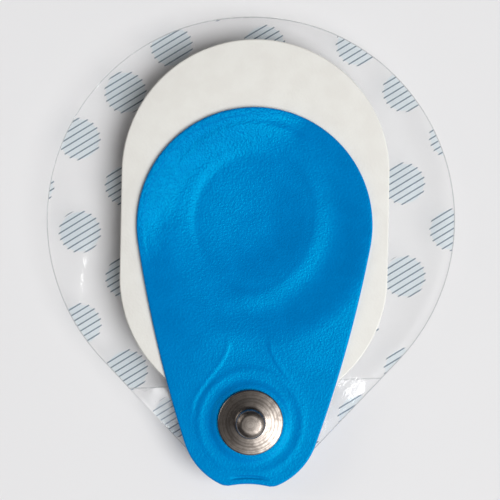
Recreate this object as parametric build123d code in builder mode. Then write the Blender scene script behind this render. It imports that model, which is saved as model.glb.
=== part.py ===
from build123d import *
from math import radians, sin, tan
import os

# Sizes in millimetres and angles in degrees. The origin is the centre of the liner blister's underside.
# +Y points away from the connector and +Z to the side that faces the room.

# Release liner: one thin film with a blister for the gel and a creased, slightly drooping tail. Its
# outline is cut a little off the blister's centre, as the photographed one is.
liner_sheet = 0.2
liner_radius = 27.0
liner_drift_x = -0.5
liner_drift_y = 0.7
tail_tip_radius = 9.4
tail_edge_angle = 45.0
crease_reach = 20.9
crease_slant = 3.5
tail_droop = 4.0
blister_depth = 3.0
blister_flare = 1.3
blister_skirt = 1.2

# Foam pad with the gel well punched through it
pad_width = 35.3
pad_length = 49.0
pad_sheet = 1.2
well_radius = 9.1

# Gel cup: closes the well, and its raised rim is the ring that shows in the label
cup_sheet = 0.2
cup_overlap = 0.6
cup_crest_rise = 0.6
cup_dish_rise = 0.3
cup_inner_slope = 1.0
cup_outer_slope = 0.8
cup_lip = 0.5

# Gel sponge, a loose fit in the well
sponge_clearance = 0.2

# Sensor disc, with the boss that reaches through the cup to the strip
sensor_radius = 5.0
sensor_sheet = 0.4
sensor_boss_radius = 1.2

# Lead strip, from the sensor to the connector
strip_sheet = 0.12
strip_neck = 4.8
strip_flare = 4.0
strip_sensor_margin = 2.0
strip_eyelet_margin = 2.0

# Stud, drawn from one sheet: turned-down rim, dipped flange, neck, and head with a straight land
stud_reach = 25.9
stud_sheet = 0.2
stud_bend = 0.18
gentle_turn = 40.0
stud_radius = 4.3
rim_rise = 0.5
rim_run = 0.6
flange_dip = 0.13
flange_run = 2.15
neck_radius = 1.7
neck_foot_rise = 0.8
neck_rise = 1.4
head_radius = 1.975
head_rise = 1.75
head_land = 0.95
head_crown = 0.65
head_flat_radius = 1.25

# Eyelet, drawn from one sheet: flange under the label and hollow post spread in the stud's head
eyelet_sheet = 0.25
eyelet_radius = 5.2
post_clearance = 0.1
hole_clearance = 0.2
post_spread = 0.25
post_spread_run = 0.6

# Label: soft sheet cut to a drop and pressed to shape over what lies beneath
label_sheet = 0.4
label_radius = 15.4
tab_radius = 8.95
label_clamped = 0.35
notch_depth = 0.77
notch_radius = 12.0
notch_corner_round = 0.6
crest_width = 0.9
crest_spread = 0.8
boss_margin = 0.4
boss_slope = 0.75
boss_groove_press = 0.08
bead_rise = 0.1
bead_run = 0.6
neck_press = 0.08
neck_press_margin = 0.3
end_groove_inset = 0.9
end_groove_width = 0.35
end_groove_depth = 0.12
end_groove_length = 5.0

# Film under the tab, cut clear of the foam's edge
backing_sheet = 0.15
backing_gap = 0.15

# Levels and places that follow from the sizes above
film_run = liner_radius + liner_radius
tip_reach = (liner_radius - tail_tip_radius) / sin(radians(tail_edge_angle))
blister_mouth_radius = well_radius + blister_flare
blister_edge_radius = blister_mouth_radius + blister_skirt
pad_under = blister_depth + liner_sheet
pad_top = pad_under + pad_sheet
label_top = pad_top + label_sheet
cup_crest_radius = well_radius + cup_overlap
cup_dish_radius = cup_crest_radius - cup_inner_slope
cup_foot_radius = cup_crest_radius + cup_outer_slope
cup_radius = cup_foot_radius + cup_lip
relief_radius = cup_radius + crest_spread
sensor_top = pad_top + cup_dish_rise
sponge_top = sensor_top - sensor_sheet
sponge_radius = well_radius - sponge_clearance
eyelet_top = pad_top + eyelet_sheet
eyelet_drape_radius = eyelet_radius + 2 * eyelet_sheet
stud_seat = eyelet_top + strip_sheet + label_clamped
boss_radius = eyelet_radius + boss_margin
groove_radius = boss_radius + boss_slope
bead_radius = groove_radius + bead_run
bead_foot_radius = bead_radius + bead_run
post_radius = neck_radius - stud_sheet - post_clearance
post_hole_radius = post_radius + hole_clearance
strip_round_radius = eyelet_radius + strip_eyelet_margin
notch_reach = stud_reach + tab_radius - notch_depth + notch_radius
end_groove_radius = notch_radius + end_groove_inset
stud_axis = Axis((0, -stud_reach, 0), (0, 0, 1))
stud_plane = Plane.XZ.offset(stud_reach)


def clipped(points, cut):
    """The points of a run of straight lines, with its sharper corners clipped by the given length."""
    run = [Vector(*point) for point in points]
    corners = [run[0]]
    for before, corner, after in zip(run, run[1:], run[2:]):
        if (corner - before).get_angle(after - corner) > gentle_turn:
            corners.append(corner + (before - corner).normalized() * cut)
            corners.append(corner + (after - corner).normalized() * cut)
        else:
            corners.append(corner)
    return corners + [run[-1]]


def beside(points, sheet):
    """The points of the line that runs a sheet's thickness to the left of a run of straight lines."""
    run = [Vector(*point) for point in points]
    ways = [(after - before).normalized() for before, after in zip(run, run[1:])]
    sides = [Vector(-way.Y, way.X) for way in ways]
    sides = [sides[0]] + sides + [sides[-1]]
    line = []
    for corner, side, next_side in zip(run, sides, sides[1:]):
        line.append(corner + (side + next_side) * (sheet / (1 + side.dot(next_side))))
    return line


def cup_line(level, foot):
    """The gel cup's profile, from its axis at the given level over the raised rim and down to its foot."""
    Polyline(
        (0, level + cup_dish_rise),
        (cup_dish_radius, level + cup_dish_rise),
        (cup_crest_radius, level + cup_crest_rise),
        foot,
    )


def drop_outline():
    """The drop shape of the label: a large round end joined by straight sides to the tab's round end."""
    Circle(label_radius)
    with Locations((0, -stud_reach)):
        Circle(tab_radius)
    make_hull()


def notch():
    """The hollow dip that is cut in the end of the tab."""
    with Locations((0, -notch_reach)):
        Circle(notch_radius, mode=Mode.SUBTRACT)


def bed(lift):
    """All that lies beneath a sheet laid over the foam, the gel cup and the eyelet, raised by lift."""
    with BuildPart() as under:
        with BuildSketch(Plane.XY.offset(pad_under)):
            drop_outline()
        extrude(amount=pad_sheet + lift)
        with BuildSketch(Plane.XZ):
            with BuildLine():
                cup_line(pad_top + cup_sheet + lift, (cup_radius, pad_top + lift))
                Polyline(
                    (cup_radius, pad_top + lift),
                    (cup_radius, pad_under),
                    (0, pad_under),
                    (0, pad_top + cup_sheet + lift + cup_dish_rise),
                )
            make_face()
        revolve(axis=Axis.Z)
        with BuildSketch(stud_plane):
            with BuildLine():
                Polyline(
                    (0, pad_under),
                    (0, eyelet_top + lift),
                    (eyelet_radius, eyelet_top + lift),
                    (eyelet_drape_radius, pad_top + lift),
                    (eyelet_drape_radius, pad_under),
                    close=True,
                )
            make_face()
        revolve(axis=stud_axis)
    return under.part


def post_hole():
    """A hole down the stud's axis that clears the eyelet's post and the bend at its foot."""
    with BuildSketch(Plane.XY.offset(pad_under)) as hole:
        with Locations((0, -stud_reach)):
            Circle(post_hole_radius)
    extrude(hole.sketch, amount=stud_seat, mode=Mode.SUBTRACT)


# Release liner. The film is drawn edge-on, bent at its crease, swept across and cut to its outline,
# and the blister is turned in its middle.
with BuildPart() as release_liner:
    with BuildSketch(Plane.YZ.rotated((0, 0, crease_slant))):
        with BuildLine():
            Polyline(
                (film_run, blister_depth),
                (-crease_reach, blister_depth),
                (-crease_reach - film_run, blister_depth - film_run * tan(radians(tail_droop))),
            )
            offset(amount=liner_sheet, side=Side.RIGHT, kind=Kind.INTERSECTION, closed=True)
        make_face()
    extrude(amount=film_run, both=True)
    with BuildSketch():
        with Locations((liner_drift_x, liner_drift_y)):
            Circle(liner_radius)
        with Locations((0, -tip_reach)):
            Circle(tail_tip_radius)
        make_hull()
    extrude(amount=pad_top, mode=Mode.INTERSECT)
    with BuildSketch():
        Circle(blister_edge_radius)
    extrude(amount=pad_top, mode=Mode.SUBTRACT)
    blister_line = [
        (0, 0),
        (well_radius, 0),
        (blister_mouth_radius, blister_depth),
        (blister_edge_radius, blister_depth),
    ]
    with BuildSketch(Plane.XZ):
        with BuildLine():
            Polyline(*blister_line, *reversed(beside(blister_line, liner_sheet)), close=True)
        make_face()
    revolve(axis=Axis.Z)

# Foam pad, punched from sheet
with BuildPart() as foam_pad:
    with BuildSketch(Plane.XY.offset(pad_under)):
        SlotCenterToCenter(pad_length - pad_width, pad_width, rotation=90)
    extrude(amount=pad_sheet)
    with BuildSketch(Plane.XY.offset(pad_under)):
        Circle(well_radius)
    extrude(amount=pad_sheet, mode=Mode.SUBTRACT)

# Gel cup, formed from thin sheet: a shallow dish, the raised rim and a feathered lip on the foam
with BuildPart() as gel_cup:
    with BuildSketch(Plane.XZ):
        with BuildLine():
            cup_line(pad_top, (cup_foot_radius, pad_top))
            cup_line(pad_top + cup_sheet, (cup_radius, pad_top))
            Line((0, sensor_top), (0, sensor_top + cup_sheet))
            Line((cup_foot_radius, pad_top), (cup_radius, pad_top))
        make_face()
    revolve(axis=Axis.Z)
    with BuildSketch(Plane.XY.offset(sensor_top)):
        Circle(sensor_boss_radius)
    extrude(amount=cup_sheet, mode=Mode.SUBTRACT)

# Gel sponge, from the blister's floor through the well to the sensor
with BuildPart() as gel_sponge:
    with BuildSketch(Plane.XY.offset(liner_sheet)):
        Circle(sponge_radius)
    extrude(amount=sponge_top - liner_sheet)

# Sensor disc, its boss through the cup and up against the strip
with BuildPart() as sensor_disc:
    with BuildSketch(Plane.XY.offset(sponge_top)):
        Circle(sensor_radius)
    extrude(amount=sensor_sheet)
    with BuildSketch(Plane.XY.offset(sensor_top)):
        Circle(sensor_boss_radius)
    extrude(amount=cup_sheet)

# Lead strip, laid over the cup and the foam and up onto the eyelet's flange
with BuildPart() as lead_strip:
    with BuildSketch(Plane.XY.offset(pad_top)):
        Circle(sensor_boss_radius + strip_sensor_margin)
        with Locations((0, -stud_reach / 2)):
            Rectangle(strip_neck, stud_reach)
        with Locations((0, -stud_reach)):
            Circle(strip_round_radius)
        shoulders = vertices().filter_by(lambda v: -stud_reach + strip_neck / 2 < v.Y < -stud_reach / 2)
        fillet(shoulders, radius=strip_flare)
    extrude(amount=stud_seat)
    add(bed(strip_sheet), mode=Mode.INTERSECT)
    add(bed(0), mode=Mode.SUBTRACT)
    post_hole()

# Film under the tab, from the foam's edge to the tab's end
with BuildPart() as tab_backing:
    with BuildSketch(Plane.XY.offset(pad_top - backing_sheet)):
        drop_outline()
        notch()
        SlotCenterToCenter(
            pad_length - pad_width,
            pad_width + 2 * backing_gap,
            rotation=90,
            mode=Mode.SUBTRACT,
        )
        with Locations((0, -stud_reach)):
            Rectangle(2 * label_radius, 2 * tab_radius, mode=Mode.INTERSECT)
    extrude(amount=backing_sheet)

# Label. The flat sheet is cut, then the formed areas round the gel and round
# the connector are turned in their places, and the layers beneath are pressed into its underside.
with BuildPart() as top_label:
    with BuildSketch(Plane.XY.offset(pad_top)):
        drop_outline()
        notch()
    extrude(amount=label_sheet)
    notch_corners = top_label.edges().filter_by(Axis.Z).group_by(Axis.Y)[0]
    fillet(notch_corners, radius=notch_corner_round)
    with BuildSketch(Plane.XY.offset(pad_top)):
        Circle(relief_radius)
        with Locations((0, -stud_reach)):
            Circle(bead_foot_radius)
    extrude(amount=label_sheet, mode=Mode.SUBTRACT)
    with BuildSketch(Plane.XZ):
        with BuildLine():
            dish_top = label_top + cup_sheet + cup_dish_rise
            crest_top = label_top + cup_sheet + cup_crest_rise
            Polyline(
                (0, dish_top),
                (cup_dish_radius - crest_width / 2, dish_top),
                (cup_crest_radius - crest_width / 2, crest_top),
                (cup_crest_radius + crest_width / 2, crest_top),
                (relief_radius, label_top),
                (relief_radius, pad_top),
                (0, pad_top),
                close=True,
            )
        make_face()
    revolve(axis=Axis.Z)
    with BuildSketch(stud_plane):
        with BuildLine():
            groove_top = label_top - boss_groove_press
            bead_top = label_top + bead_rise
            Polyline(
                (0, stud_seat),
                (boss_radius, stud_seat),
                (groove_radius, groove_top),
                (bead_radius, bead_top),
                (bead_foot_radius, label_top),
                (bead_foot_radius, pad_top),
                (0, pad_top),
                close=True,
            )
        make_face()
    revolve(axis=stud_axis)
    # The neck of the strip, pressed faintly into the label between the two formed areas
    with BuildSketch(Plane.XY.offset(label_top - neck_press)):
        with Locations((0, -stud_reach / 2)):
            Rectangle(strip_neck + 2 * neck_press_margin, stud_reach)
        with Locations((0, -stud_reach)):
            Circle(strip_round_radius)
        fillet(
            vertices().filter_by(lambda v: -stud_reach + strip_neck < v.Y < -stud_reach / 2),
            radius=strip_flare,
        )
        Circle(relief_radius, mode=Mode.SUBTRACT)
        with Locations((0, -stud_reach)):
            Circle(bead_foot_radius, mode=Mode.SUBTRACT)
    extrude(amount=label_sheet, mode=Mode.SUBTRACT)
    # The groove that follows the dip at the tab's end
    with BuildSketch(Plane.XY.offset(label_top - end_groove_depth)):
        with Locations((0, -notch_reach)):
            Circle(end_groove_radius + end_groove_width / 2)
            Circle(end_groove_radius - end_groove_width / 2, mode=Mode.SUBTRACT)
        with Locations((0, -stud_reach - tab_radius)):
            Rectangle(end_groove_length, tab_radius, mode=Mode.INTERSECT)
    extrude(amount=label_sheet, mode=Mode.SUBTRACT)
    add(bed(0), mode=Mode.SUBTRACT)
    add(lead_strip.part, mode=Mode.SUBTRACT)
    post_hole()

# Stud, drawn from sheet and open underneath. The head's straight land is what the lead's clip holds.
with BuildPart() as snap_stud:
    flange_level = stud_seat + rim_rise - flange_dip
    land_top = stud_seat + head_rise + head_land
    stud_line = [
        (stud_radius, stud_seat),
        (stud_radius, stud_seat + rim_rise),
        (stud_radius - rim_run, flange_level),
        (stud_radius - flange_run, flange_level),
        (neck_radius, stud_seat + neck_foot_rise),
        (neck_radius, stud_seat + neck_rise),
        (head_radius, stud_seat + head_rise),
        (head_radius, land_top),
        (head_flat_radius, land_top + head_crown),
        (0, land_top + head_crown),
    ]
    with BuildSketch(stud_plane):
        with BuildLine():
            Polyline(*clipped(stud_line, stud_bend), *reversed(beside(stud_line, stud_sheet)), close=True)
        make_face()
    revolve(axis=stud_axis)

# Eyelet under the label, its hollow post up through the layers and spread inside the stud's head
with BuildPart() as snap_eyelet:
    eyelet_line = [
        (eyelet_radius, eyelet_top),
        (post_radius, eyelet_top),
        (post_radius, land_top - post_spread_run),
        (post_radius + post_spread, land_top),
    ]
    with BuildSketch(stud_plane):
        with BuildLine():
            Polyline(*eyelet_line, *reversed(beside(eyelet_line, eyelet_sheet)), close=True)
        make_face()
    revolve(axis=stud_axis)

os.makedirs("parts", exist_ok=True)

release_liner.part.label = "release_liner"
export_step(release_liner.part, "parts/release_liner.step")
foam_pad.part.label = "foam_pad"
export_step(foam_pad.part, "parts/foam_pad.step")
gel_cup.part.label = "gel_cup"
export_step(gel_cup.part, "parts/gel_cup.step")
gel_sponge.part.label = "gel_sponge"
export_step(gel_sponge.part, "parts/gel_sponge.step")
sensor_disc.part.label = "sensor_disc"
export_step(sensor_disc.part, "parts/sensor_disc.step")
lead_strip.part.label = "lead_strip"
export_step(lead_strip.part, "parts/lead_strip.step")
tab_backing.part.label = "tab_backing"
export_step(tab_backing.part, "parts/tab_backing.step")
top_label.part.label = "top_label"
export_step(top_label.part, "parts/top_label.step")
snap_stud.part.label = "snap_stud"
export_step(snap_stud.part, "parts/snap_stud.step")
snap_eyelet.part.label = "snap_eyelet"
export_step(snap_eyelet.part, "parts/snap_eyelet.step")
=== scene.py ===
import bpy
from math import cos, exp, hypot, pi, radians, sin, sqrt, tan
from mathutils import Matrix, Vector
from mathutils.bvhtree import BVHTree


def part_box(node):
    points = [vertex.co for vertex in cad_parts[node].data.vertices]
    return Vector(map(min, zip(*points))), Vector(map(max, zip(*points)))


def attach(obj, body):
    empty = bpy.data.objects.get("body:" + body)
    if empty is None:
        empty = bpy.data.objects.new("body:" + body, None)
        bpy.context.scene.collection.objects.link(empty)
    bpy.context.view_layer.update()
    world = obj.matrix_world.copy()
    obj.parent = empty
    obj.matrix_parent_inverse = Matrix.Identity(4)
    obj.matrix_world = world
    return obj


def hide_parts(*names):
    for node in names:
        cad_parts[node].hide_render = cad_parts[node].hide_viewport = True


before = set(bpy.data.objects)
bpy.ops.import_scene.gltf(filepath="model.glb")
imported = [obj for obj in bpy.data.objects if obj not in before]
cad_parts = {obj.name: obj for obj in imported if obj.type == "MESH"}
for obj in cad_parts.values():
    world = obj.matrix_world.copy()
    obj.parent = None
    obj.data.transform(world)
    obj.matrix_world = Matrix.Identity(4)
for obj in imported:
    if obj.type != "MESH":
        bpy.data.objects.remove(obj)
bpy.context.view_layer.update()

# Release liner: one clear film, thermoformed with a blister under the gel, die-cut to a rounded drop and
# creased across so that its tail can be picked up. Dots of fine hatching are printed on it, and handling
# has left it a little wavy, with crinkles where the tail was bent.

mm = 0.001
liner_low, liner_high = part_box("release_liner")
well_low, well_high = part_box("gel_sponge")
film_sheet = 0.2 * mm
film_top = liner_high.z
film_points = 360
film_cuts = 36
film_wide_radius = liner_high.x - (liner_high.x + liner_low.x) / 2
film_wide = Vector(((liner_high.x + liner_low.x) / 2, liner_high.y - film_wide_radius, film_wide_radius))
film_tip_radius = 9.4 * mm
film_tip = Vector((0, liner_low.y + film_tip_radius, film_tip_radius))
blister_floor_radius = well_high.x + 0.2 * mm
blister_mouth_radius = 10.4 * mm
blister_edge_radius = 11.6 * mm
crease_reach = 20.9 * mm
crease_slant = radians(3.5)
tail_droop = radians(1.6)
edge_curl = 0.05 * mm
edge_curl_width = 0.32 * mm
edge_rings = 2
edge_ring_crowding = 0.36
pad_half_straight = 6.9 * mm
clear_of_pad_band = (17.4 * mm, 19.5 * mm)
film_warps = [
    # middle x, middle y, length, width, turn in degrees, height
    (-23.4 * mm, -6.0 * mm, 9.0 * mm, 1.3 * mm, 84, 0.288 * mm),
    (-24.6 * mm, 3.2 * mm, 3.0 * mm, 1.5 * mm, 100, 0.32 * mm),
    (-13.0 * mm, -21.8 * mm, 1.6 * mm, 1.0 * mm, 10, 0.22 * mm),
    (-14.4 * mm, -22.8 * mm, 5.0 * mm, 4.0 * mm, 55, 0.40 * mm),
    (13.6 * mm, -20.4 * mm, 3.0 * mm, 1.2 * mm, 45, 0.02 * mm),
    (23.4 * mm, -4.0 * mm, 12.0 * mm, 2.2 * mm, 96, 0.08 * mm),
    (-1.0 * mm, 29.6 * mm, 15.0 * mm, 3.4 * mm, 0, -1.6 * mm),
    (17.0 * mm, 17.0 * mm, 8.0 * mm, 1.8 * mm, -42, 0.12 * mm),
]


def start_fresh():
    """Leaves nothing selected, so that the next primitive is all that an operator acts on."""
    if bpy.context.mode != "OBJECT":
        bpy.ops.object.mode_set(mode="OBJECT")
    bpy.ops.object.select_all(action="DESELECT")


def take_up(piece):
    """Selects one piece alone and makes it the active one."""
    start_fresh()
    piece.select_set(True)
    bpy.context.view_layer.objects.active = piece


def named_piece(name):
    """Names the active object and sets its place into its mesh."""
    piece = bpy.context.active_object
    piece.name = name
    piece.data.name = name
    bpy.ops.object.transform_apply(location=True, rotation=True, scale=True)
    return piece


def apply_modifiers(piece):
    """Makes every modifier of a piece part of its mesh."""
    take_up(piece)
    for modifier in list(piece.modifiers):
        bpy.ops.object.modifier_apply(modifier=modifier.name)


def thicken(piece, sheet, upper_face, rim_slot=0):
    """Turns a surface face up, judged by the face given, and makes it a sheet below that face."""
    if piece.data.polygons[upper_face].normal.z < 0:
        piece.data.flip_normals()
    shell = piece.modifiers.new("thickness", "SOLIDIFY")
    shell.thickness = sheet
    shell.offset = -1
    shell.material_offset_rim = rim_slot
    apply_modifiers(piece)


def pick_vertices(piece, wanted):
    """In edit mode, selects the vertices whose place passes the test and nothing else."""
    bpy.ops.mesh.select_mode(type="VERT")
    bpy.ops.mesh.select_all(action="DESELECT")
    bpy.ops.object.mode_set(mode="OBJECT")
    for vertex in piece.data.vertices:
        vertex.select = wanted(vertex.co)
    bpy.ops.object.mode_set(mode="EDIT")


def draw_rings(profile, middle):
    """Extrudes the selected loop from ring to ring of a profile of (radius, level) about an upright axis."""
    for (radius, level), (next_radius, next_level) in zip(profile, profile[1:]):
        bpy.ops.mesh.extrude_edges_move(TRANSFORM_OT_translate={"value": (0, 0, next_level - level)})
        ratio = next_radius / radius
        bpy.ops.transform.resize(value=(ratio, ratio, 1), center_override=(middle.x, middle.y, 0))


def close_pole():
    """Closes the selected loop with a fan of faces to its middle."""
    bpy.ops.mesh.extrude_edges_move()
    bpy.ops.mesh.merge(type="CENTER")


def drop_reach(turn, middle, wide, narrow, bulge=0.0):
    """How far a drop's edge is from a place in it: the drop is a row of circles, from wide to narrow."""
    steps = 160
    reach = 0
    way = Vector((cos(turn), sin(turn)))
    for step in range(steps + 1):
        share = step / steps
        circle = wide.lerp(narrow, share)
        radius = circle.z + 4 * bulge * share * (1 - share)
        offset = circle.xy - middle.xy
        along = offset.dot(way)
        past = radius ** 2 - offset.length_squared + along ** 2
        if past > 0:
            reach = max(reach, along + sqrt(past))
    return reach


def smooth_share(value, start, end):
    """Nought before start, one after end, and an even S between them."""
    share = min(max((value - start) / (end - start), 0), 1)
    return share * share * (3 - 2 * share)


def warp_level(x, y, warps):
    """How far a list of warps or dents lifts a sheet at a place."""
    level = 0
    for middle_x, middle_y, length, width, turn, height in warps:
        run, across = x - middle_x, y - middle_y
        along = run * cos(radians(turn)) + across * sin(radians(turn))
        side = across * cos(radians(turn)) - run * sin(radians(turn))
        level += height * exp(-((along / length) ** 2) - (side / width) ** 2)
    return level


def film_level(x, y):
    """How far the film's warps and its drooping tail lift it off its flat level at a place."""
    level = warp_level(x, y, film_warps)
    past_crease = -(y * cos(crease_slant) - x * sin(crease_slant)) - crease_reach
    clear_of_pad = smooth_share(hypot(x, max(abs(y) - pad_half_straight, 0)), *clear_of_pad_band)
    return level * clear_of_pad - max(past_crease, 0) * tan(tail_droop)


blister_profile = [
    (blister_edge_radius, film_top),
    (blister_mouth_radius + film_sheet, film_top),
    (blister_floor_radius + film_sheet, film_sheet),
    (blister_floor_radius * 0.97, film_sheet),
    (blister_floor_radius * 0.5, film_sheet),
    (blister_floor_radius * 0.05, film_sheet),
]
start_fresh()
bpy.ops.mesh.primitive_circle_add(
    vertices=film_points, radius=blister_edge_radius, location=(0, 0, film_top), enter_editmode=True
)
film = bpy.context.active_object
bpy.ops.mesh.primitive_circle_add(vertices=film_points, radius=film_wide_radius, location=(0, 0, film_top))
bpy.ops.object.mode_set(mode="OBJECT")
film_middle = Vector((0, 0))
for vertex in film.data.vertices:
    if vertex.co.xy.length > (blister_edge_radius + film_wide_radius) / 2:
        turn = vertex.co.xy.angle_signed(Vector((1, 0)))
        reach = drop_reach(turn, film_middle, film_wide, film_tip)
        vertex.co.xy = Vector((cos(turn), sin(turn))) * reach
bpy.ops.object.mode_set(mode="EDIT")
bpy.ops.mesh.select_all(action="SELECT")
bpy.ops.mesh.bridge_edge_loops(number_cuts=film_cuts, interpolation="LINEAR")
pick_vertices(film, lambda place: place.xy.length < blister_edge_radius * 1.001)
draw_rings(blister_profile, film_middle)
close_pole()
bpy.ops.mesh.select_all(action="SELECT")
bpy.ops.mesh.bisect(
    plane_co=(0, -crease_reach / cos(crease_slant), 0), plane_no=(-sin(crease_slant), cos(crease_slant), 0)
)
bpy.ops.mesh.select_all(action="SELECT")
bpy.ops.mesh.normals_make_consistent(inside=False)
bpy.ops.object.mode_set(mode="OBJECT")
film = named_piece("clear_liner")
film_reaches = {}
film_inset = film.data.attributes.new("inset", "FLOAT", "POINT")
for index, vertex in enumerate(film.data.vertices):
    turn = vertex.co.xy.angle_signed(Vector((1, 0))) if vertex.co.xy.length > 0 else 0
    key = round(turn * film_points / (2 * pi))
    if key not in film_reaches:
        film_reaches[key] = drop_reach(turn, film_middle, film_wide, film_tip)
    inset = film_reaches[key] - vertex.co.xy.length
    if vertex.co.xy.length > blister_edge_radius:
        ring = inset * (film_cuts + 1) / (film_reaches[key] - blister_edge_radius)
        spread = smooth_share(ring, edge_rings, 3 * edge_rings)
        crowding = edge_ring_crowding + (1 - edge_ring_crowding) * spread
        vertex.co.xy *= (film_reaches[key] - inset * crowding) / vertex.co.xy.length
        inset *= crowding
        curl = edge_curl * (1 - smooth_share(inset, 0, edge_curl_width))
        vertex.co.z += film_level(vertex.co.x, vertex.co.y) + curl
    film_inset.data[index].value = inset
thicken(film, film_sheet, 0, rim_slot=1)
bpy.ops.object.shade_smooth_by_angle(angle=radians(35))


def new_finish(name):
    """A material with its node tree, its shader and the piece's own coordinates."""
    material = bpy.data.materials.new(name)
    material.use_nodes = True
    tree = material.node_tree
    shader = tree.nodes["Principled BSDF"]
    place = tree.nodes.new("ShaderNodeTexCoord").outputs["Object"]
    return material, tree, shader, place


def feed(tree, socket, value):
    """Links a socket to another, or types a value into it."""
    if isinstance(value, bpy.types.NodeSocket):
        tree.links.new(value, socket)
    else:
        socket.default_value = value


def figure(tree, operation, *values):
    """A Math node on the values given."""
    node = tree.nodes.new("ShaderNodeMath")
    node.operation = operation
    for socket, value in zip(node.inputs, values):
        feed(tree, socket, value)
    return node.outputs[0]


def vector_figure(tree, operation, *values, output=0):
    """A Vector Math node on the values given."""
    node = tree.nodes.new("ShaderNodeVectorMath")
    node.operation = operation
    for socket, value in zip(node.inputs, values):
        feed(tree, socket, value)
    return node.outputs[output]


def ramp(tree, value, low, high, to_low=0.0, to_high=1.0, smooth=True):
    """A Map Range node that turns low to high into to_low to to_high."""
    node = tree.nodes.new("ShaderNodeMapRange")
    node.interpolation_type = "SMOOTHSTEP" if smooth else "LINEAR"
    names = ("Value", "From Min", "From Max", "To Min", "To Max")
    for name, number in zip(names, (value, low, high, to_low, to_high)):
        feed(tree, node.inputs[name], number)
    return node.outputs["Result"]


def blend(tree, share, first, second):
    """A colour between two others."""
    node = tree.nodes.new("ShaderNodeMix")
    node.data_type = "RGBA"
    feed(tree, node.inputs[0], share)
    feed(tree, node.inputs[6], first)
    feed(tree, node.inputs[7], second)
    return node.outputs[2]


def paint(tree, shader, share, first, second):
    """Gives a finish a colour between two others."""
    feed(tree, shader.inputs["Base Color"], blend(tree, share, first, second))


def roughen(tree, shader, value, low, high, to_low, to_high):
    """Gives a finish a roughness that follows a value."""
    feed(tree, shader.inputs["Roughness"], ramp(tree, value, low, high, to_low, to_high))


def product(tree, first, second):
    """One value times another."""
    return figure(tree, "MULTIPLY", first, second)


def length_of(tree, vector):
    """How long a vector is."""
    return vector_figure(tree, "LENGTH", vector, output="Value")


def apart(tree, place):
    """The X, Y and Z of a place."""
    node = tree.nodes.new("ShaderNodeSeparateXYZ")
    feed(tree, node.inputs[0], place)
    return node.outputs


def noise(tree, place, size, detail=2.0):
    """A noise whose lumps are about as large as the size given."""
    node = tree.nodes.new("ShaderNodeTexNoise")
    feed(tree, node.inputs["Vector"], place)
    node.inputs["Scale"].default_value = 1 / size
    node.inputs["Detail"].default_value = detail
    return node.outputs["Fac"]


def emboss(tree, shader, height, depth, strength=1.0):
    """Presses a height pattern of the given depth into a finish."""
    node = tree.nodes.new("ShaderNodeBump")
    node.inputs["Strength"].default_value = strength
    node.inputs["Distance"].default_value = depth
    feed(tree, node.inputs["Height"], height)
    feed(tree, shader.inputs["Normal"], node.outputs["Normal"])


def placed(tree, place, location=(0, 0, 0), turn=0.0, scale=(1, 1, 1)):
    """The coordinates from a place on the piece, turned about the upright axis and stretched."""
    node = tree.nodes.new("ShaderNodeMapping")
    node.vector_type = "TEXTURE"
    feed(tree, node.inputs["Vector"], place)
    node.inputs["Location"].default_value = location
    node.inputs["Rotation"].default_value = (0, 0, turn)
    node.inputs["Scale"].default_value = scale
    return node.outputs["Vector"]


dot_pitch = 12.26 * mm
dot_radius = 2.75 * mm
dot_first = (-23.4 * mm, 10.9 * mm, 0)
dot_tilt = radians(1.5)
hatch_pitch = 0.78 * mm
hatch_width = 0.16 * mm
hatch_turn = radians(32.5)
crumple_middle = (12.8 * mm, -21.0 * mm, film_top)
film_colour = (0.995, 0.995, 0.995, 1)
edge_mark_and_shade_colour = (0.70, 0.71, 0.72, 1)
dot_colour = (0.88, 0.945, 0.975, 1)
hatch_colour = (0.22, 0.30, 0.38, 1)
cut_look_and_shade_dark_colour = (0.28, 0.29, 0.30, 1)
cut_look_and_shade_light_colour = (0.55, 0.57, 0.58, 1)
film_ripple = 0.25 * mm


def printed_dots(tree, place):
    """Masks for the printed dots and the hatch lines in them: two square grids, one in the other's gaps."""
    grid = placed(tree, place, dot_first, dot_tilt)
    half = dot_pitch / 2
    nearest = []
    for shift in (0, half):
        moved = vector_figure(tree, "ADD", grid, (shift, shift, 0))
        cell = vector_figure(tree, "WRAP", moved, (half, half, 1), (-half, -half, -1))
        nearest.append(length_of(tree, vector_figure(tree, "MULTIPLY", cell, (1, 1, 0))))
    reach = figure(tree, "MINIMUM", *nearest)
    dot = ramp(tree, reach, dot_radius - 0.10 * mm, dot_radius - 0.20 * mm)
    hatched = ramp(tree, reach, dot_radius + 0.10 * mm, dot_radius + 0.02 * mm)
    across_lines = apart(tree, placed(tree, place, (0, 0, 0), hatch_turn))["Y"]
    line = figure(tree, "PINGPONG", across_lines, hatch_pitch / 2)
    line = ramp(tree, line, hatch_width * 0.7, hatch_width * 0.3)
    return dot, product(tree, hatched, line)


film_finish, tree, shader, place = new_finish("clear_film")
dot, hatch = printed_dots(tree, place)
inset = tree.nodes.new("ShaderNodeAttribute")
inset.attribute_name = "inset"
# A grey line is painted just inside the cut edge and along the crease: partly the marks that cutting and
# folding leave, partly painted shade for the shade that the edge and the fold catch.
cut_mark_and_shade = ramp(tree, inset.outputs["Fac"], 0.16 * mm, 0.10 * mm)
crushed_rim = ramp(tree, inset.outputs["Fac"], 0.60 * mm, 0.45 * mm)
at_crease = apart(tree, placed(tree, place, (0, -crease_reach / cos(crease_slant), 0), crease_slant))
crease = ramp(tree, figure(tree, "ABSOLUTE", at_crease["Y"]), 0.10 * mm, 0.05 * mm)
crease = product(tree, crease, ramp(tree, noise(tree, place, 2.2 * mm), 0.38, 0.5, 0.2, 0.9))
edge_marks_and_shade = figure(tree, "MAXIMUM", cut_mark_and_shade, crease)
colour = blend(tree, dot, film_colour, dot_colour)
colour = blend(tree, hatch, colour, hatch_colour)
paint(tree, shader, edge_marks_and_shade, colour, edge_mark_and_shade_colour)

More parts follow.
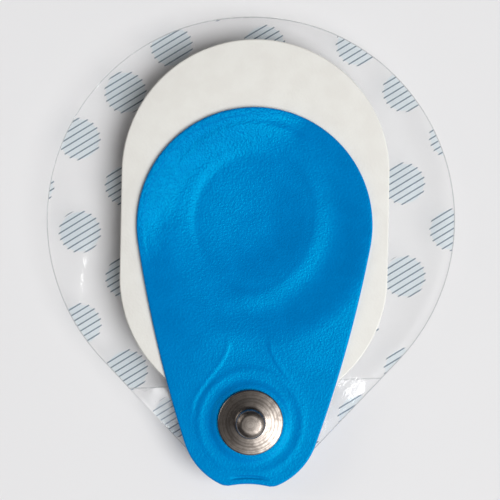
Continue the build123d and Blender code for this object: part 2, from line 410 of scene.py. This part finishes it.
# Light passes the film almost freely, apart from what the print and the crushed rim hold back
light_path = tree.nodes.new("ShaderNodeLightPath").outputs
lighting = figure(tree, "MAXIMUM", light_path["Is Shadow Ray"], light_path["Is Diffuse Ray"])
held_back = 0.05
for mask, share in ((dot, 0.10), (hatch, 0.35), (crushed_rim, 0.35)):
    held_back = figure(tree, "MAXIMUM", held_back, product(tree, mask, share))
seen = figure(tree, "SUBTRACT", 1.0, lighting)
feed(tree, shader.inputs["Alpha"], figure(tree, "MAXIMUM", held_back, seen))
off_crease = figure(tree, "ABSOLUTE", figure(tree, "ADD", at_crease["Y"], 2.4 * mm))
scuff_depth = ramp(tree, at_crease["X"], 0, 8 * mm, 0.20, 0.04)
scuffed = product(tree, ramp(tree, off_crease, 3.4 * mm, 2.0 * mm), scuff_depth)
gloss = ramp(tree, noise(tree, place, 3 * mm), 0.2, 0.8, 0.05, 0.12)
feed(tree, shader.inputs["Roughness"], figure(tree, "ADD", gloss, scuffed))
shader.inputs["Transmission Weight"].default_value = 1
shader.inputs["IOR"].default_value = 1.5
ripple = noise(tree, placed(tree, place, (0, 0, 0), radians(12), (1, 3, 1)), 4 * mm, 3)
crumple = noise(tree, placed(tree, place, crumple_middle, radians(62), (3, 1, 1)), 0.7 * mm, 2)
crumple_reach = vector_figure(tree, "DISTANCE", place, crumple_middle, output="Value")
crumple = product(tree, crumple, ramp(tree, crumple_reach, 2.6 * mm, 0.8 * mm))
emboss(tree, shader, figure(tree, "ADD", ripple, crumple), film_ripple, 0.5)
film.data.materials.append(film_finish)

# The cut rim is painted grey: partly the rough cut's own look, partly painted shade for the shade that the
# edge catches.
edge_finish, tree, shader, place = new_finish("film_cut_edge_and_shade")
paint(tree, shader, noise(tree, place, 2 * mm), cut_look_and_shade_dark_colour, cut_look_and_shade_light_colour)
feed(tree, shader.inputs["Alpha"], ramp(tree, noise(tree, place, 5 * mm), 0.3, 0.7, 0.35, 0.7))
shader.inputs["Roughness"].default_value = 0.3
film.data.materials.append(edge_finish)
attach(film, "root")
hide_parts("release_liner")

# Foam pad: closed-cell foam sheet with adhesive on its underside, die-cut to a stadium with a punched
# well for the gel. The die leaves its upper edge slightly rounded.

pad_low, pad_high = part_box("foam_pad")
pad_points = 192
pad_straight = (pad_high.y - pad_low.y) - (pad_high.x - pad_low.x)
pad_well_radius = 9.1 * mm
pad_edge_round = 0.22 * mm
pad_edge_steps = 4
foam_colour = (0.78, 0.775, 0.735, 1)
foam_shade_colour = (0.755, 0.745, 0.705, 1)

start_fresh()
bpy.ops.mesh.primitive_circle_add(
    vertices=pad_points,
    radius=pad_high.x,
    location=(0, 0, pad_low.z),
    rotation=(0, 0, pi / pad_points),
    enter_editmode=True,
)
pad = bpy.context.active_object
for side in (1, -1):
    pick_vertices(pad, lambda place: place.y * side > 0)
    bpy.ops.transform.translate(value=(0, side * pad_straight / 2, 0))
bpy.ops.mesh.select_all(action="DESELECT")
bpy.ops.mesh.primitive_circle_add(
    vertices=pad_points, radius=pad_well_radius, location=(0, 0, pad_low.z), rotation=(0, 0, pi / pad_points)
)
bpy.ops.mesh.select_all(action="SELECT")
bpy.ops.mesh.bridge_edge_loops()
bpy.ops.mesh.select_all(action="SELECT")
bpy.ops.mesh.extrude_region_move(TRANSFORM_OT_translate={"value": (0, 0, pad_high.z - pad_low.z)})
bpy.ops.mesh.select_all(action="SELECT")
bpy.ops.mesh.normals_make_consistent(inside=False)
bpy.ops.object.mode_set(mode="OBJECT")
pad = named_piece("pad_of_foam")
crushed = pad.modifiers.new("crushed_edge", "BEVEL")
crushed.width = pad_edge_round
crushed.segments = pad_edge_steps
crushed.limit_method = "ANGLE"
crushed.angle_limit = radians(60)
apply_modifiers(pad)
bpy.ops.object.shade_smooth_by_angle(angle=radians(35))


def shared_effect(name, inputs, outputs):
    """An empty node group with its named sockets."""
    group = bpy.data.node_groups.new(name, "ShaderNodeTree")
    for socket, kind, value in inputs:
        made = group.interface.new_socket(socket, in_out="INPUT", socket_type=kind)
        if value is not None:
            made.default_value = value
    for socket in outputs:
        group.interface.new_socket(socket, in_out="OUTPUT", socket_type="NodeSocketFloat")
    return group, group.nodes.new("NodeGroupInput").outputs, group.nodes.new("NodeGroupOutput").inputs


def place_effect(tree, group, **values):
    """A shared effect placed in a finish with its own values."""
    node = tree.nodes.new("ShaderNodeGroup")
    node.node_tree = group
    for name, value in values.items():
        feed(tree, node.inputs[name.replace("_", " ")], value)
    return node.outputs


# Small rounded cells or pebbles, as in foam and in embossed sheet, with a slower unevenness over them
cells, given, made = shared_effect(
    "small_cells",
    [
        ("Place", "NodeSocketVector", None),
        ("Cell", "NodeSocketFloat", 0.5 * mm),
        ("Uneven", "NodeSocketFloat", 0.3),
    ],
    ["Height", "Mottle"],
)
scale = figure(cells, "DIVIDE", 1.0, given["Cell"])
wander = cells.nodes.new("ShaderNodeTexNoise")
feed(cells, wander.inputs["Vector"], given["Place"])
feed(cells, wander.inputs["Scale"], product(cells, scale, 0.9))
pebbles = cells.nodes.new("ShaderNodeTexVoronoi")
pebbles.feature = "SMOOTH_F1"
stray = product(cells, given["Cell"], 0.7)
strayed = vector_figure(cells, "MULTIPLY", wander.outputs["Color"], stray)
feed(cells, pebbles.inputs["Vector"], vector_figure(cells, "ADD", given["Place"], strayed))
feed(cells, pebbles.inputs["Scale"], scale)
pebbles.inputs["Smoothness"].default_value = 0.6
slow = cells.nodes.new("ShaderNodeTexNoise")
feed(cells, slow.inputs["Vector"], given["Place"])
feed(cells, slow.inputs["Scale"], product(cells, scale, 0.12))
slow.inputs["Detail"].default_value = 4
rounded = figure(cells, "SUBTRACT", 1.0, pebbles.outputs["Distance"])
uneven = product(cells, slow.outputs["Fac"], given["Uneven"])
feed(cells, made["Height"], figure(cells, "ADD", rounded, uneven))
feed(cells, made["Mottle"], slow.outputs["Fac"])

foam_finish, tree, shader, place = new_finish("white_foam")
foam_cells = place_effect(tree, cells, Place=place, Cell=0.32 * mm, Uneven=0.8)
paint(tree, shader, ramp(tree, foam_cells["Mottle"], 0.35, 0.65), foam_shade_colour, foam_colour)
roughen(tree, shader, foam_cells["Height"], 0.4, 1.4, 0.95, 0.75)
emboss(tree, shader, foam_cells["Height"], 0.03 * mm, 0.5)
pad.data.materials.append(foam_finish)
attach(pad, "root")
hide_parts("foam_pad")

# Gel sponge: a disc of open foam soaked with salt gel, cut to drop loosely into the well. It is soft,
# so its edges are rounded.

sponge_middle = Vector((0, 0))
sponge_radius = well_high.x
sponge_round = 0.7 * mm
sponge_points = 96
sponge_steps = 6
sponge_face_shares = (0.5, 0.05)
gel_colour = (0.80, 0.81, 0.74, 1)
gel_wet_colour = (0.66, 0.70, 0.62, 1)

start_fresh()
bpy.ops.mesh.primitive_circle_add(
    vertices=sponge_points,
    radius=sponge_radius - sponge_round,
    location=(0, 0, well_low.z),
    enter_editmode=True,
)
bpy.ops.mesh.select_all(action="SELECT")
sponge_profile = []
sponge_leans = [radians(90) * step / sponge_steps for step in range(sponge_steps + 1)]
for lean in sponge_leans:
    inset, rise = sponge_round * (1 - sin(lean)), sponge_round * (1 - cos(lean))
    sponge_profile.append((sponge_radius - inset, well_low.z + rise))
for lean in sponge_leans:
    inset, fall = sponge_round * (1 - cos(lean)), sponge_round * (1 - sin(lean))
    sponge_profile.append((sponge_radius - inset, well_high.z - fall))
sponge_profile += [(sponge_radius * share, well_high.z) for share in sponge_face_shares]
draw_rings(sponge_profile, sponge_middle)
close_pole()
sponge = bpy.context.active_object
pick_vertices(sponge, lambda place: place.z < well_low.z + 0.001 * mm)
sponge_under = [(sponge_radius - sponge_round, well_low.z)]
sponge_under += [(sponge_radius * share, well_low.z) for share in sponge_face_shares]
draw_rings(sponge_under, sponge_middle)
close_pole()
bpy.ops.mesh.select_all(action="SELECT")
bpy.ops.mesh.normals_make_consistent(inside=False)
bpy.ops.object.mode_set(mode="OBJECT")
sponge = named_piece("soaked_sponge")
take_up(sponge)
bpy.ops.object.shade_smooth()
gel_finish, tree, shader, place = new_finish("gel_soaked_foam")
gel_cells = place_effect(tree, cells, Place=place, Cell=0.8 * mm, Uneven=0.5)
paint(tree, shader, ramp(tree, gel_cells["Height"], 0.3, 1.1), gel_wet_colour, gel_colour)
roughen(tree, shader, gel_cells["Mottle"], 0.3, 0.7, 0.12, 0.4)
emboss(tree, shader, gel_cells["Height"], 0.08 * mm, 0.6)
sponge.data.materials.append(gel_finish)
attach(sponge, "root")
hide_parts("gel_sponge")

# Gel cup, sensor disc and lead strip: the layers between the foam and the label. The cup is styrene
# formed into a shallow dish with an oval crest, which shows in the label as its ring, the sensor is
# plastic coated with silver chloride, and the strip is carbon-filled film laid over the cup.

cup_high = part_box("gel_cup")[1]
cup_sheet = 0.2 * mm
cup_points = 256
cup_ring_step = 0.25 * mm
cup_hole_radius = 1.25 * mm
cup_lip = (9.9 * mm, 10.7 * mm)
cup_under_label = 0.32 * mm
cup_colour = (0.82, 0.82, 0.80, 1)
cup_shade_colour = (0.74, 0.74, 0.71, 1)
sensor_colour = (0.36, 0.34, 0.35, 1)
sensor_shade_colour = (0.20, 0.19, 0.20, 1)
strip_colour = (0.035, 0.035, 0.037, 1)
strip_shade_colour = (0.012, 0.012, 0.013, 1)
ring_middle = Vector((-0.33 * mm, 0.80 * mm))
ring_half_width = 8.55 * mm
ring_half_length = 10.15 * mm
ring_lean = radians(7)
ring_side = radians(-42)
ring_relief = [
    # share of the way to the ring's crest, level on the upper left, level on the lower right
    (0, 0.35 * mm, 0.35 * mm),
    (0.45, 0.36 * mm, 0.36 * mm),
    (0.78, 0.37 * mm, 0.44 * mm),
    (0.88, 0.38 * mm, 0.45 * mm),
    (0.98, 0.55 * mm, 0.46 * mm),
]
ring_fall = 2.6 * mm
valley_relief = (0.53 * mm, 0.28 * mm)
margin_relief = [
    # reach from the gel's middle, level on the upper left, level on the lower right
    (13.4 * mm, 0.37 * mm, 0.24 * mm),
    (14.7 * mm, 0.21 * mm, 0.24 * mm),
    (15.2 * mm, 0.16 * mm, 0.23 * mm),
    (22.0 * mm, 0, 0),
]


def relief_level(reach, relief):
    """The level at a reach on a smooth line through a relief's points."""
    if reach <= relief[0][0]:
        return relief[0][1]
    if reach >= relief[-1][0]:
        return relief[-1][1]
    slopes = [0]
    for before, after in zip(relief, relief[2:]):
        slopes.append((after[1] - before[1]) / (after[0] - before[0]))
    slopes.append(0)
    index = 0
    while reach > relief[index + 1][0]:
        index += 1
    (start, low), (end, high) = relief[index], relief[index + 1]
    span = end - start
    share = (reach - start) / span
    eased = share * share * (3 - 2 * share)
    leaving = share * (1 - share) ** 2 * slopes[index]
    arriving = share * share * (1 - share) * slopes[index + 1]
    return low + (high - low) * eased + (leaving - arriving) * span


def ring_level(x, y):
    """The level of the formed area over the gel: a dish in an oval ring, a valley round it and the margin."""
    spot = Vector((x, y))
    gel_reach = spot.length
    turn = spot.angle_signed(Vector((1, 0))) if gel_reach > 0 else 0
    lower_right = (1 + cos(turn - ring_side)) / 2
    along = Vector((cos(turn + ring_lean), sin(turn + ring_lean)))
    crest = 1 / hypot(along.x / ring_half_width, along.y / ring_half_length)
    crest += ring_middle.dot(Vector((cos(turn), sin(turn))))
    points = [(share * crest, upper + (lower - upper) * lower_right) for share, upper, lower in ring_relief]
    for reach, upper, lower in [(crest + ring_fall, *valley_relief)] + margin_relief:
        points.append((reach, upper + (lower - upper) * lower_right))
    return relief_level(gel_reach, points)


def cup_level(x, y):
    """The level of the cup's face: under the label's ring, and down to a flat lip on the foam."""
    rise = max(ring_level(x, y) + 2 * cup_sheet - cup_under_label - cup_sheet, 0)
    return pad_high.z + cup_sheet + rise * (1 - smooth_share(hypot(x, y), *cup_lip))


def dress(node, finish):
    """Gives a piece that keeps its shape from the frame a finish of its own."""
    node.data.materials.clear()
    node.data.materials.append(finish)


start_fresh()
bpy.ops.mesh.primitive_circle_add(
    vertices=cup_points, radius=cup_high.x, location=(0, 0, pad_high.z + cup_sheet), enter_editmode=True
)
bpy.ops.mesh.select_all(action="SELECT")
cup_rings = int((cup_high.x - cup_hole_radius) / cup_ring_step)
cup_reaches = [cup_high.x - ring * cup_ring_step for ring in range(cup_rings)]
draw_rings([(reach, 0) for reach in cup_reaches + [cup_hole_radius]], film_middle)
bpy.ops.object.mode_set(mode="OBJECT")
cup = named_piece("formed_cup")
for vertex in cup.data.vertices:
    vertex.co.z = cup_level(vertex.co.x, vertex.co.y)
thicken(cup, cup_sheet, 0)
bpy.ops.object.shade_smooth_by_angle(angle=radians(50))

cup_finish, tree, shader, place = new_finish("white_styrene")
cup_mottle = ramp(tree, noise(tree, place, 2 * mm), 0.3, 0.7)
paint(tree, shader, cup_mottle, cup_shade_colour, cup_colour)
roughen(tree, shader, cup_mottle, 0, 1, 0.35, 0.5)
cup.data.materials.append(cup_finish)
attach(cup, "root")
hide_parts("gel_cup")

sensor_finish, tree, shader, place = new_finish("silver_chloride")
sensor_cells = place_effect(tree, cells, Place=place, Cell=0.25 * mm, Uneven=0.6)
paint(tree, shader, sensor_cells["Mottle"], sensor_shade_colour, sensor_colour)
roughen(tree, shader, sensor_cells["Mottle"], 0.3, 0.7, 0.55, 0.8)
emboss(tree, shader, sensor_cells["Height"], 0.02 * mm, 0.5)
dress(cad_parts["sensor_disc"], sensor_finish)

strip_finish, tree, shader, place = new_finish("carbon_film")
strip_streak = noise(tree, placed(tree, place, (0, 0, 0), 0.0, (1, 6, 1)), 0.8 * mm, 4)
paint(tree, shader, strip_streak, strip_shade_colour, strip_colour)
roughen(tree, shader, strip_streak, 0.3, 0.7, 0.45, 0.65)
dress(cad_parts["lead_strip"], strip_finish)

# Film under the tab: the same blue as the label's back, welded to it where no foam carries the tab. It
# keeps its shape from the frame.

blue_colour = (0.0, 0.195, 0.55, 1)
blue_shade_colour = (0.0, 0.18, 0.52, 1)
backing_finish, tree, shader, place = new_finish("blue_backing_film")
backing_mottle = ramp(tree, noise(tree, place, 1.5 * mm, 4), 0.3, 0.7)
paint(tree, shader, backing_mottle, blue_shade_colour, blue_colour)
roughen(tree, shader, backing_mottle, 0, 1, 0.4, 0.55)
dress(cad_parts["tab_backing"], backing_finish)

# Label: soft blue vinyl with an embossed leather grain, die-cut to a drop with a dip in the end of its
# tab. It is welded down over the gel cup, whose rim shows through as a ring, over the lead strip's neck
# and round the connector.

label_low, label_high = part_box("top_label")
stud_low, stud_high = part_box("snap_stud")
stud_middle = (stud_low + stud_high) / 2
label_sheet = 0.4 * mm
label_top = pad_high.z + label_sheet
label_points = 560
label_rings = 70
label_wide_radius = (label_high.x - label_low.x) / 2 + 0.12 * mm
label_wide = Vector((0, 0, label_wide_radius))
label_narrow = Vector((stud_middle.x, stud_middle.y, 9.1 * mm))
label_middle = Vector((0, -10.0 * mm))
label_edge_round = 0.22 * mm
notch_radius = 12.0 * mm
notch_middle = Vector((0, -46.08 * mm))
notch_blend = 0.5 * mm
label_bulge = 0.5 * mm
label_dents = [
    # middle x, middle y, length, width, turn in degrees, height
    (0, -9.6 * mm, 3.4 * mm, 1.2 * mm, 0, 0.16 * mm),
    (-12.9 * mm, 0.3 * mm, 2.3 * mm, 1.7 * mm, 100, -0.24 * mm),
    (-9.0 * mm, 9.6 * mm, 3.4 * mm, 0.5 * mm, 45, -0.05 * mm),
    (0, -15.9 * mm, 4.5 * mm, 2.1 * mm, 0, -0.15 * mm),
]
boss_relief = [
    # reach from the connector's middle, level over the flat label
    (0, 0.32 * mm),
    (4.65 * mm, 0.32 * mm),
    (5.0 * mm, 0.20 * mm),
    (5.35 * mm, 0.06 * mm),
    (6.1 * mm, 0.03 * mm),
    (6.8 * mm, 0.08 * mm),
    (7.4 * mm, 0.02 * mm),
    (9.2 * mm, 0.0),
]
neck_middle = -0.35 * mm
neck_half_width = 2.8 * mm
neck_flare = 4.6 * mm
neck_press = 0.05 * mm
neck_bead = 0.025 * mm
neck_bead_width = 0.35 * mm
neck_side = 0.6 * mm
tab_band = (17 * mm, 19 * mm)
neck_flare_band = (15.5 * mm, 24.5 * mm)
neck_start_band = (10 * mm, 12 * mm)
neck_end_band = (24 * mm, 26 * mm)
off_gel_band = (14.6 * mm, 16.6 * mm)
off_boss_band = (6.6 * mm, 7.6 * mm)
rim_shares = [1, 0.9985, 0.995, 0.990, 0.983]


def label_level(x, y):
    """The level of the label's face at a place."""
    gel_reach = hypot(x, y)
    boss_reach = hypot(x - stud_middle.x, y - stud_middle.y)
    on_tab = smooth_share(-y, *tab_band)
    level = ring_level(x, y) + relief_level(boss_reach, boss_relief) * on_tab + warp_level(x, y, label_dents)
    half_width = neck_half_width + neck_flare * smooth_share(-y, *neck_flare_band)
    outside = abs(x - neck_middle) - half_width
    on_neck = smooth_share(gel_reach, *off_gel_band) * smooth_share(boss_reach, *off_boss_band)
    on_neck *= smooth_share(-y, *neck_start_band) * (1 - smooth_share(-y, *neck_end_band))
    pressed = smooth_share(-outside, 0, neck_side)
    bead = exp(-((outside / neck_bead_width) ** 2))
    return label_top + level + on_neck * (neck_bead * bead - neck_press * pressed)


def label_reach(turn):
    """How far the label's edge is from its middle: a drop, less the dip in its end, with eased corners."""
    way = Vector((cos(turn), sin(turn)))
    reach = drop_reach(turn, label_middle, label_wide, label_narrow, label_bulge)
    offset = notch_middle - label_middle
    along = offset.dot(way)
    past = notch_radius ** 2 - offset.length_squared + along ** 2
    if past <= 0 or along < 0:
        return reach
    dip = along - sqrt(past)
    near = max(notch_blend - abs(reach - dip), 0) / notch_blend
    return min(reach, dip) - near * near * notch_blend / 4


start_fresh()
bpy.ops.mesh.primitive_circle_add(
    vertices=label_points, radius=1, location=(label_middle.x, label_middle.y, label_top), enter_editmode=True
)
label = bpy.context.active_object
bpy.ops.object.mode_set(mode="OBJECT")
for vertex in label.data.vertices:
    turn = vertex.co.xy.angle_signed(Vector((1, 0)))
    vertex.co.xy = vertex.co.xy.normalized() * label_reach(turn)
bpy.ops.object.mode_set(mode="EDIT")
bpy.ops.mesh.select_all(action="SELECT")
ring_shares = rim_shares + [rim_shares[-1] * (1 - ring / label_rings) for ring in range(1, label_rings)]
draw_rings([(share, 0) for share in ring_shares], label_middle)
close_pole()
bpy.ops.object.mode_set(mode="OBJECT")
label = named_piece("blue_label")
thicken(label, label_sheet, -1)
layers = []
for layer in [cup] + [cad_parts[name] for name in ("lead_strip", "snap_eyelet", "tab_backing")]:
    corners = [vertex.co for vertex in layer.data.vertices]
    layers.append(BVHTree.FromPolygons(corners, [face.vertices for face in layer.data.polygons]))
label_reaches = {}
for vertex in label.data.vertices:
    x, y, z = vertex.co
    if z > label_top - label_sheet / 2:
        out = vertex.co.xy - label_middle
        turn = out.angle_signed(Vector((1, 0))) if out.length > 0 else 0
        key = round(turn * label_points / (2 * pi))
        if key not in label_reaches:
            label_reaches[key] = label_reach(turn)
        inset = label_reaches[key] - out.length
        lack = max(label_edge_round - inset, 0)
        drop = label_edge_round - sqrt(max(label_edge_round ** 2 - lack ** 2, 0))
        vertex.co.z = label_level(x, y) - drop
    else:
        beneath = pad_high.z
        for layer in layers:
            spot = layer.ray_cast(Vector((x, y, label_high.z + mm)), Vector((0, 0, -1)))[0]
            if spot:
                beneath = max(beneath, spot.z)
        vertex.co.z = min(beneath, label_level(x, y) - label_sheet / 3)
take_up(label)
bpy.ops.object.shade_smooth_by_angle(angle=radians(50))

grain_depth = 0.03 * mm
end_groove_radius = notch_radius + 0.95 * mm
end_groove_depth = 0.14
upper_left_way = (-0.68, 0.73, 0)
left_way = (-0.98, 0.17, 0)
label_finish, tree, shader, place = new_finish("blue_vinyl")
pebble = place_effect(tree, cells, Place=place, Cell=0.28 * mm, Uneven=0.3)
fine_grain = noise(tree, place, 0.15 * mm, 3)
grain = figure(tree, "ADD", pebble["Height"], fine_grain)
from_end = vector_figure(tree, "SUBTRACT", place, (0, notch_middle.y, 0))
end_reach = length_of(tree, vector_figure(tree, "MULTIPLY", from_end, (1, 1, 0)))
off_line = figure(tree, "ABSOLUTE", figure(tree, "SUBTRACT", end_reach, end_groove_radius))
within = ramp(tree, figure(tree, "ABSOLUTE", apart(tree, place)["X"]), 2.9 * mm, 0.8 * mm)
end_groove = product(tree, ramp(tree, off_line, 0.34 * mm, 0.04 * mm), within)
gel_reach = length_of(tree, vector_figure(tree, "MULTIPLY", place, (1, 1, 0)))
outward = vector_figure(tree, "NORMALIZE", place)
upper_left = vector_figure(tree, "DOT_PRODUCT", outward, upper_left_way, output="Value")
left = vector_figure(tree, "DOT_PRODUCT", outward, left_way, output="Value")

# Soft swells round the gel, which catch the light more than the sheet's form alone does. Each rises
# between two reaches, by the millimetres given last, and only as far as it lies towards its side.
bowl = product(tree, ramp(tree, gel_reach, 1.4 * mm, 8.4 * mm), ramp(tree, upper_left, -0.9, 0.9, 0.62, 0.25))
for start, end, side, share_low, share_high, rise in (
    (8.0 * mm, 11.8 * mm, left, -0.3, 0.7, 0.28),
    (10.4 * mm, 14.9 * mm, upper_left, 0.33, 0.96, 1.45),
    (13.5 * mm, 15.6 * mm, upper_left, 0.55, 0.98, 0.42),
    (9.4 * mm, 16.4 * mm, upper_left, 0.5, -0.6, 0.92),
    (14.35 * mm, 14.75 * mm, upper_left, 0.2, 0.9, 0.14),
):
    towards = ramp(tree, side, share_low, share_high, 0, rise)
    bowl = figure(tree, "ADD", bowl, product(tree, ramp(tree, gel_reach, start, end), towards))
relief = figure(tree, "SUBTRACT", bowl, product(tree, end_groove, end_groove_depth))
relief = product(tree, relief, mm / grain_depth)
paint(tree, shader, ramp(tree, pebble["Mottle"], 0.35, 0.65), blue_shade_colour, blue_colour)
roughen(tree, shader, pebble["Height"], 0.4, 1.2, 0.32, 0.23)
shader.inputs["Specular Tint"].default_value = (0.0, 0.85, 1.0, 1)
shader.inputs["Specular IOR Level"].default_value = 0.58
grain = product(tree, grain, ramp(tree, product(tree, upper_left, gel_reach), 4 * mm, 13 * mm, 0.85, 2.8))
emboss(tree, shader, figure(tree, "ADD", grain, relief), grain_depth, 1.0)
label.data.materials.append(label_finish)
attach(label, "root")
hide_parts("top_label")

# Eyelet: drawn from tinned brass, its flange under the label and its hollow post spread inside the stud.
# It keeps its shape from the frame, and only its finish is given here.

marks, given, made = shared_effect(
    "turned_marks",
    [("Place", "NodeSocketVector", None), ("Pitch", "NodeSocketFloat", 0.3 * mm)],
    ["Height", "Shade"],
)
out = length_of(marks, vector_figure(marks, "MULTIPLY", given["Place"], (1, 1, 0)))
rings = marks.nodes.new("ShaderNodeTexNoise")
rings.noise_dimensions = "1D"
feed(marks, rings.inputs["W"], figure(marks, "DIVIDE", out, given["Pitch"]))
rings.inputs["Scale"].default_value = 1
rings.inputs["Detail"].default_value = 3
stains = marks.nodes.new("ShaderNodeTexNoise")
feed(marks, stains.inputs["Vector"], given["Place"])
feed(marks, stains.inputs["Scale"], figure(marks, "DIVIDE", 0.3, given["Pitch"]))
feed(marks, made["Height"], rings.outputs["Fac"])
feed(marks, made["Shade"], product(marks, rings.outputs["Fac"], stains.outputs["Fac"]))

tin_colour = (0.62, 0.60, 0.57, 1)
tin_dull_colour = (0.48, 0.46, 0.43, 1)
eyelet_finish, tree, shader, place = new_finish("tinned_brass")
eyelet_marks = place_effect(tree, marks, Place=placed(tree, place, stud_middle), Pitch=0.4 * mm)
paint(tree, shader, ramp(tree, eyelet_marks["Shade"], 0.15, 0.4), tin_dull_colour, tin_colour)
roughen(tree, shader, eyelet_marks["Shade"], 0.15, 0.4, 0.4, 0.28)
shader.inputs["Metallic"].default_value = 1
emboss(tree, shader, eyelet_marks["Height"], 0.01 * mm, 0.5)
dress(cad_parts["snap_eyelet"], eyelet_finish)

# Stud: one piece of nickel-plated sheet drawn into a flange with a turned-down rim, a neck and a hollow
# head for the lead's clip. The drawing die has left fine rings round its axis.

stud_points = 128
stud_sheet = 0.2 * mm
stud_radius = stud_high.x
stud_seat = stud_low.z
nickel_colour = (0.33, 0.295, 0.265, 1)
nickel_dull_colour = (0.17, 0.148, 0.132, 1)
stud_profile = [
    # radius, level over the label
    (stud_radius, 0),
    (stud_radius, 0.34 * mm),
    (stud_radius - 0.12 * mm, 0.43 * mm),
    (3.3 * mm, 0.575 * mm),
    (2.6 * mm, 0.73 * mm),
    (1.84 * mm, 0.84 * mm),
    (1.66 * mm, 1.35 * mm),
    (1.97 * mm, 1.80 * mm),
    (1.975 * mm, 2.58 * mm),
    (1.80 * mm, 3.02 * mm),
    (1.28 * mm, 3.31 * mm),
    (0.6 * mm, 3.35 * mm),
    (0.06 * mm, 3.35 * mm),
]
stud_bends = [0, 0.10, 0.10, 0.3, 0.30, 0.50, 0.18, 0.22, 0.22, 0.26, 0.20, 0, 0]


def softened(profile, bends, steps):
    """A profile with its corners turned into arcs, each starting the given millimetres before its corner."""
    longest = 0.48
    rounded = [profile[0]]
    for index in range(1, len(profile) - 1):
        corner = Vector(profile[index])
        if not bends[index]:
            rounded.append(tuple(corner))
            continue
        before = Vector(profile[index - 1]) - corner
        after = Vector(profile[index + 1]) - corner
        start = corner + before.normalized() * min(bends[index] * mm, before.length * longest)
        end = corner + after.normalized() * min(bends[index] * mm, after.length * longest)
        for step in range(steps + 1):
            share = step / steps
            rounded.append(tuple(start.lerp(corner, share).lerp(corner.lerp(end, share), share)))
    rounded.append(profile[-1])
    return rounded


start_fresh()
bpy.ops.mesh.primitive_circle_add(
    vertices=stud_points,
    radius=stud_radius,
    location=(stud_middle.x, stud_middle.y, stud_seat),
    enter_editmode=True,
)
bpy.ops.mesh.select_all(action="SELECT")
draw_rings(softened(stud_profile, stud_bends, 5), stud_middle)
close_pole()
bpy.ops.mesh.select_all(action="SELECT")
bpy.ops.mesh.normals_make_consistent(inside=False)
bpy.ops.object.mode_set(mode="OBJECT")
stud = named_piece("nickel_stud")
thicken(stud, stud_sheet, -1)
bpy.ops.object.shade_smooth_by_angle(angle=radians(40))

nickel_finish, tree, shader, place = new_finish("plated_nickel")
stud_marks = place_effect(tree, marks, Place=placed(tree, place, stud_middle), Pitch=0.22 * mm)
paint(tree, shader, ramp(tree, stud_marks["Shade"], 0.12, 0.36), nickel_dull_colour, nickel_colour)
roughen(tree, shader, stud_marks["Shade"], 0.1, 0.4, 0.36, 0.30)
shader.inputs["Metallic"].default_value = 1
emboss(tree, shader, stud_marks["Height"], 0.004 * mm, 0.5)
stud.data.materials.append(nickel_finish)
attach(stud, "root")
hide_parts("snap_stud")

# Setting: a pale board under the object, one soft studio lamp from the lower right of the picture, and
# a room that is brighter on the lamp's side, with a pale screen low on the other, which the metal mirrors.

floor_size = 3.0
floor_colour = (0.79, 0.79, 0.80, 1)
floor_shade_colour = (0.78, 0.78, 0.79, 1)
start_fresh()
bpy.ops.mesh.primitive_plane_add(size=floor_size, location=(0, 0, 0))
floor = bpy.context.active_object
floor.name = "pale_board"
floor_finish, tree, shader, place = new_finish("pale_board")
board_tone = ramp(tree, noise(tree, place, 60 * mm, 2), 0.3, 0.7)
paint(tree, shader, board_tone, floor_shade_colour, floor_colour)
shader.inputs["Roughness"].default_value = 0.9
shader.inputs["Specular IOR Level"].default_value = 0.1
floor.data.materials.append(floor_finish)

aim = Vector((-0.53 * mm, -3.3 * mm, pad_high.z))
lamp_turn = radians(-31)
lamp_rise = radians(56)
lamp_reach = 2.4
lamp_size = 1.95
lamp_energy = 57.5
lamp_way = Vector((cos(lamp_turn) * cos(lamp_rise), sin(lamp_turn) * cos(lamp_rise), sin(lamp_rise)))
lamp = bpy.data.objects.new("studio_lamp", bpy.data.lights.new("studio_lamp", "AREA"))
bpy.context.scene.collection.objects.link(lamp)
lamp.data.shape = "DISK"
lamp.data.size = lamp_size
lamp.data.energy = lamp_energy
lamp.location = aim + lamp_way * lamp_reach
lamp.rotation_euler = lamp_way.to_track_quat("Z", "Y").to_euler()

bright_rise = radians(45)
screen_way = (-0.77, 0.31, 0.56)
room_dark_colour = (0.035, 0.035, 0.04, 1)
room_bright_colour = (0.62, 0.615, 0.61, 1)
screen_colour = (1.6, 1.5, 1.4, 1)
room = bpy.data.worlds.new("room")
bpy.context.scene.world = room
room.use_nodes = True
tree = room.node_tree
way = tree.nodes.new("ShaderNodeTexCoord").outputs["Generated"]
bright_way = (cos(lamp_turn) * cos(bright_rise), sin(lamp_turn) * cos(bright_rise), sin(bright_rise))
towards_lamp = vector_figure(tree, "DOT_PRODUCT", way, bright_way, output="Value")
room_light = blend(tree, ramp(tree, towards_lamp, 0.45, 0.98), room_dark_colour, room_bright_colour)
towards_screen = vector_figure(tree, "DOT_PRODUCT", way, screen_way, output="Value")
room_light = blend(tree, ramp(tree, towards_screen, 0.94, 0.985), room_light, screen_colour)
feed(tree, tree.nodes["Background"].inputs["Color"], room_light)
tree.nodes["Background"].inputs["Strength"].default_value = 1.0

camera = bpy.data.objects.new("camera", bpy.data.cameras.new("camera"))
bpy.context.scene.collection.objects.link(camera)
camera_reach = 235 * mm
camera_width = 65.8 * mm
camera_sensor = 36
camera_roll = radians(1.2)
camera.data.sensor_width = camera_sensor
camera.data.lens = camera_sensor * camera_reach / camera_width
camera.location = aim + Vector((0, 0, camera_reach))
camera.rotation_euler = (0, 0, camera_roll)
bpy.context.scene.camera = camera
bpy.context.scene.view_settings.view_transform = "Standard"
